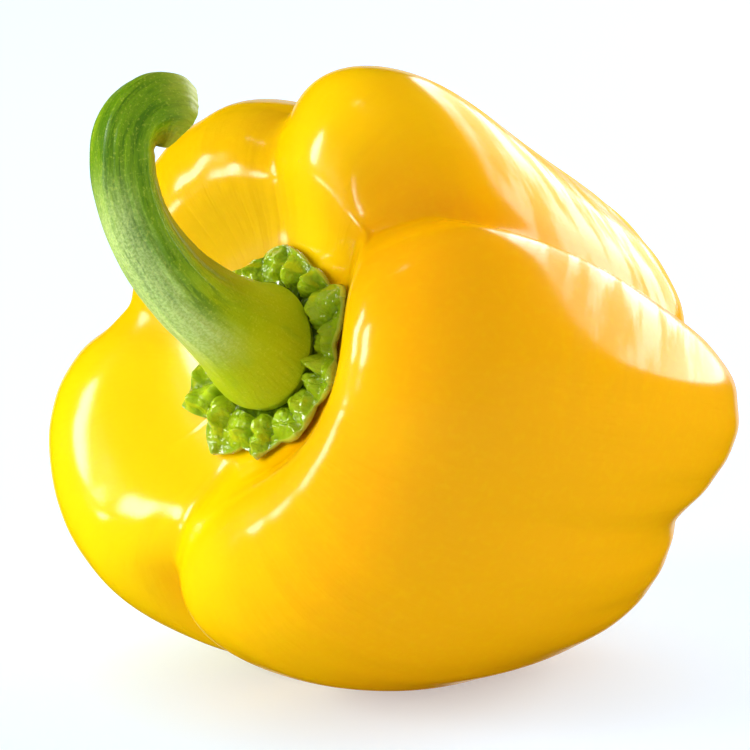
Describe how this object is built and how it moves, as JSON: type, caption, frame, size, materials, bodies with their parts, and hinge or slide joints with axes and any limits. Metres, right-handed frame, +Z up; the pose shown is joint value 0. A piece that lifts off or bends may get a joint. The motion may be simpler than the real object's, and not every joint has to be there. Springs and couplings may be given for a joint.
{
  "type": "bell pepper",
  "caption": "Blocky sweet pepper lying on its side, with rounded lobes, a crinkled leafy collar in its dimple and a curved stem with a flared cut end.",
  "frame": {"origin": "on the ground, under the middle of the part's box", "axes": "+Z up; the stem end faces -X and the tail +X, with the pepper's axis raised 15 degrees towards the stem; -Y is the side the picture shows most of"},
  "size_m": [0.1014, 0.088, 0.0902],
  "materials": {
    "pepper_skin": "waxy gloss",
    "calyx_leaf": "slightly waxy",
    "stem_skin": "satin"
  },
  "bodies": {
    "root": {"fruit": "pepper_skin", "calyx": "calyx_leaf", "stem": "stem_skin"}
  },
  "joints": []
}
